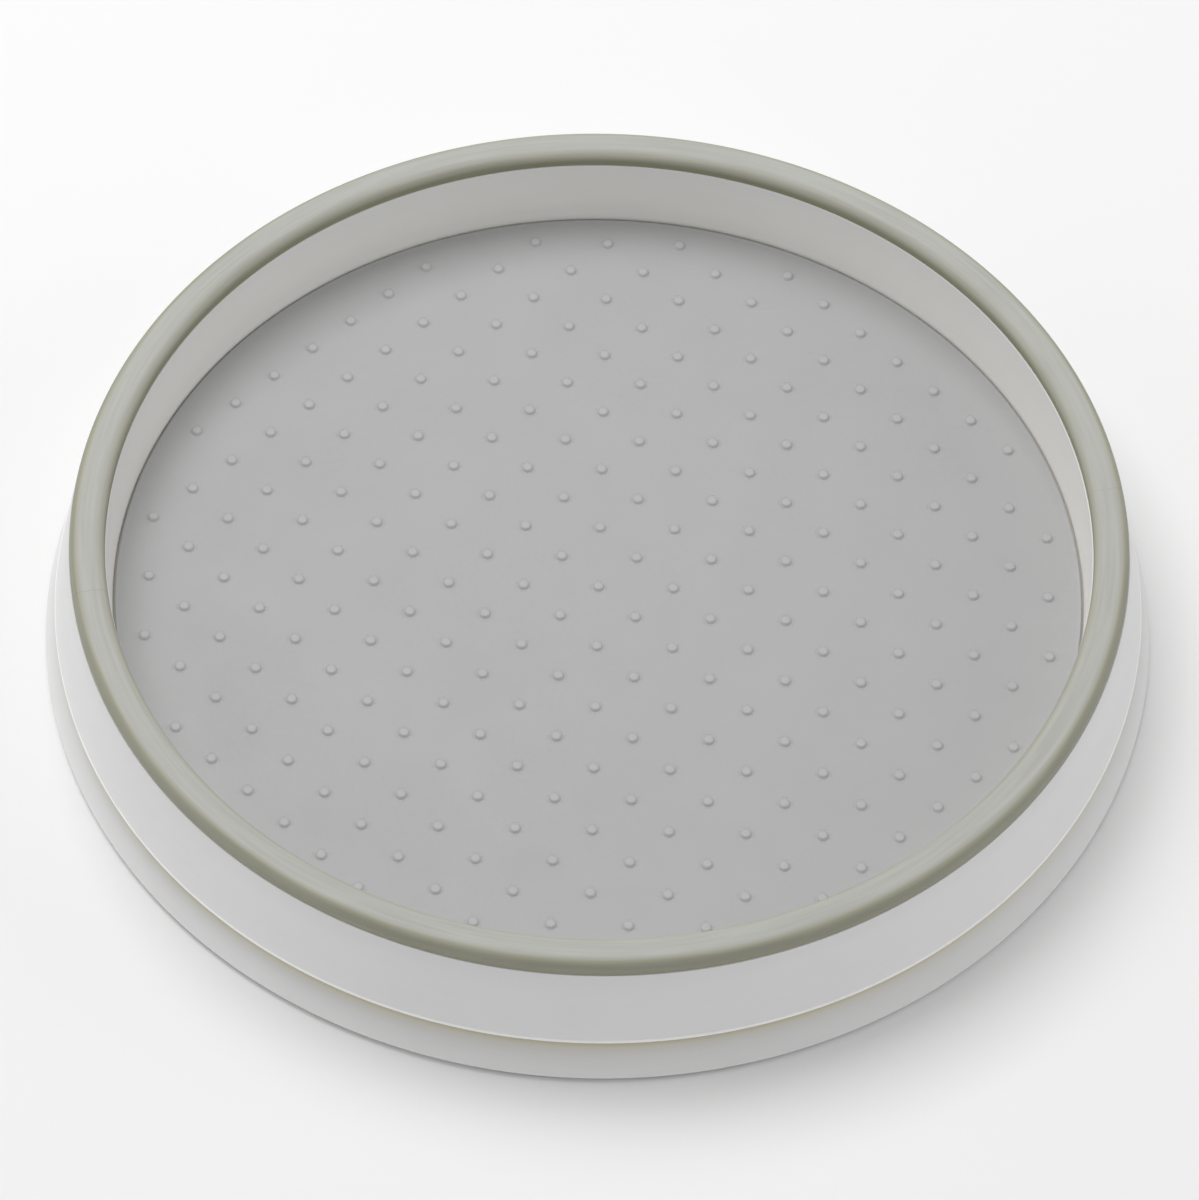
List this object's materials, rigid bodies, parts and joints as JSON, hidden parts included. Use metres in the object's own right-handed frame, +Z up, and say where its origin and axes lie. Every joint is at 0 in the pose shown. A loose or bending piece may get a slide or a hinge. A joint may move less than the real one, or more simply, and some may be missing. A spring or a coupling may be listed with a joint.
{
  "type": "lazy susan turntable",
  "caption": "Round two-part turntable: a deep tray with a soft grip rim and a dimpled non-slip mat turns freely on balls over a low base.",
  "frame": {"origin": "on the table, at the turning axis, at the middle of the feet's undersides", "axes": "+Z up along the turning axis, +X through foot 1 and ball 1 at rest, right-handed"},
  "size_m": [0.3048, 0.3048, 0.0422],
  "materials": {
    "base_plastic": "fine satin moulded polypropylene, off-white",
    "tray_plastic": "satin moulded polypropylene, off-white",
    "grip_rubber": "matt soft-touch elastomer, sage grey",
    "mat_rubber": "matt non-slip elastomer, neutral grey",
    "cage_plastic": "natural moulded acetal",
    "screw_steel": "zinc plated",
    "washer_steel": "zinc plated, tumbled",
    "slip_plastic": "polished acetal",
    "ball_steel": "polished bearing steel",
    "foot_rubber": "matt dark grey rubber"
  },
  "bodies": {
    "base": {"base_shell": "base_plastic", "slip_washer": "slip_plastic", "foot_1": "foot_rubber", "foot_2": "foot_rubber", "foot_3": "foot_rubber", "foot_4": "foot_rubber", "foot_5": "foot_rubber", "foot_6": "foot_rubber"},
    "tray": {"tray_shell": "tray_plastic", "rim_grip": "grip_rubber", "tray_mat": "mat_rubber", "pivot_screw": "screw_steel", "retaining_washer": "washer_steel"},
    "cage": {"ball_cage": "cage_plastic"},
    "ball_1": {"ball_1": "ball_steel"},
    "ball_2": {"ball_2": "ball_steel"},
    "ball_3": {"ball_3": "ball_steel"},
    "ball_4": {"ball_4": "ball_steel"},
    "ball_5": {"ball_5": "ball_steel"},
    "ball_6": {"ball_6": "ball_steel"},
    "ball_7": {"ball_7": "ball_steel"},
    "ball_8": {"ball_8": "ball_steel"},
    "ball_9": {"ball_9": "ball_steel"},
    "ball_10": {"ball_10": "ball_steel"},
    "ball_11": {"ball_11": "ball_steel"},
    "ball_12": {"ball_12": "ball_steel"}
  },
  "joints": [
    {"name": "tray_spin", "type": "hinge", "parent": "base", "child": "tray", "pos_m": [0, 0, 0.0083], "axis": [0, 0, 1], "continuous": true},
    {"name": "cage_spin", "type": "hinge", "parent": "base", "child": "cage", "pos_m": [0, 0, 0.0083], "axis": [0, 0, 1], "continuous": true},
    {"name": "ball_1_roll", "type": "hinge", "parent": "cage", "child": "ball_1", "pos_m": [0.096, 0, 0.0083], "axis": [1, 0, 0], "continuous": true},
    {"name": "ball_2_roll", "type": "hinge", "parent": "cage", "child": "ball_2", "pos_m": [0.08314, 0.048, 0.0083], "axis": [0.866, 0.5, 0], "continuous": true},
    {"name": "ball_3_roll", "type": "hinge", "parent": "cage", "child": "ball_3", "pos_m": [0.048, 0.08314, 0.0083], "axis": [0.5, 0.866, 0], "continuous": true},
    {"name": "ball_4_roll", "type": "hinge", "parent": "cage", "child": "ball_4", "pos_m": [0, 0.096, 0.0083], "axis": [0, 1, 0], "continuous": true},
    {"name": "ball_5_roll", "type": "hinge", "parent": "cage", "child": "ball_5", "pos_m": [-0.048, 0.08314, 0.0083], "axis": [-0.5, 0.866, 0], "continuous": true},
    {"name": "ball_6_roll", "type": "hinge", "parent": "cage", "child": "ball_6", "pos_m": [-0.08314, 0.048, 0.0083], "axis": [-0.866, 0.5, 0], "continuous": true},
    {"name": "ball_7_roll", "type": "hinge", "parent": "cage", "child": "ball_7", "pos_m": [-0.096, 0, 0.0083], "axis": [-1, 0, 0], "continuous": true},
    {"name": "ball_8_roll", "type": "hinge", "parent": "cage", "child": "ball_8", "pos_m": [-0.08314, -0.048, 0.0083], "axis": [-0.866, -0.5, 0], "continuous": true},
    {"name": "ball_9_roll", "type": "hinge", "parent": "cage", "child": "ball_9", "pos_m": [-0.048, -0.08314, 0.0083], "axis": [-0.5, -0.866, 0], "continuous": true},
    {"name": "ball_10_roll", "type": "hinge", "parent": "cage", "child": "ball_10", "pos_m": [0, -0.096, 0.0083], "axis": [0, -1, 0], "continuous": true},
    {"name": "ball_11_roll", "type": "hinge", "parent": "cage", "child": "ball_11", "pos_m": [0.048, -0.08314, 0.0083], "axis": [0.5, -0.866, 0], "continuous": true},
    {"name": "ball_12_roll", "type": "hinge", "parent": "cage", "child": "ball_12", "pos_m": [0.08314, -0.048, 0.0083], "axis": [0.866, -0.5, 0], "continuous": true}
  ],
  "couplings": [
    {"joint": "cage_spin", "follows": "tray_spin", "ratio": 0.5},
    {"joint": "ball_1_roll", "follows": "tray_spin", "ratio": -20.168},
    {"joint": "ball_2_roll", "follows": "tray_spin", "ratio": -20.168},
    {"joint": "ball_3_roll", "follows": "tray_spin", "ratio": -20.168},
    {"joint": "ball_4_roll", "follows": "tray_spin", "ratio": -20.168},
    {"joint": "ball_5_roll", "follows": "tray_spin", "ratio": -20.168},
    {"joint": "ball_6_roll", "follows": "tray_spin", "ratio": -20.168},
    {"joint": "ball_7_roll", "follows": "tray_spin", "ratio": -20.168},
    {"joint": "ball_8_roll", "follows": "tray_spin", "ratio": -20.168},
    {"joint": "ball_9_roll", "follows": "tray_spin", "ratio": -20.168},
    {"joint": "ball_10_roll", "follows": "tray_spin", "ratio": -20.168},
    {"joint": "ball_11_roll", "follows": "tray_spin", "ratio": -20.168},
    {"joint": "ball_12_roll", "follows": "tray_spin", "ratio": -20.168}
  ]
}
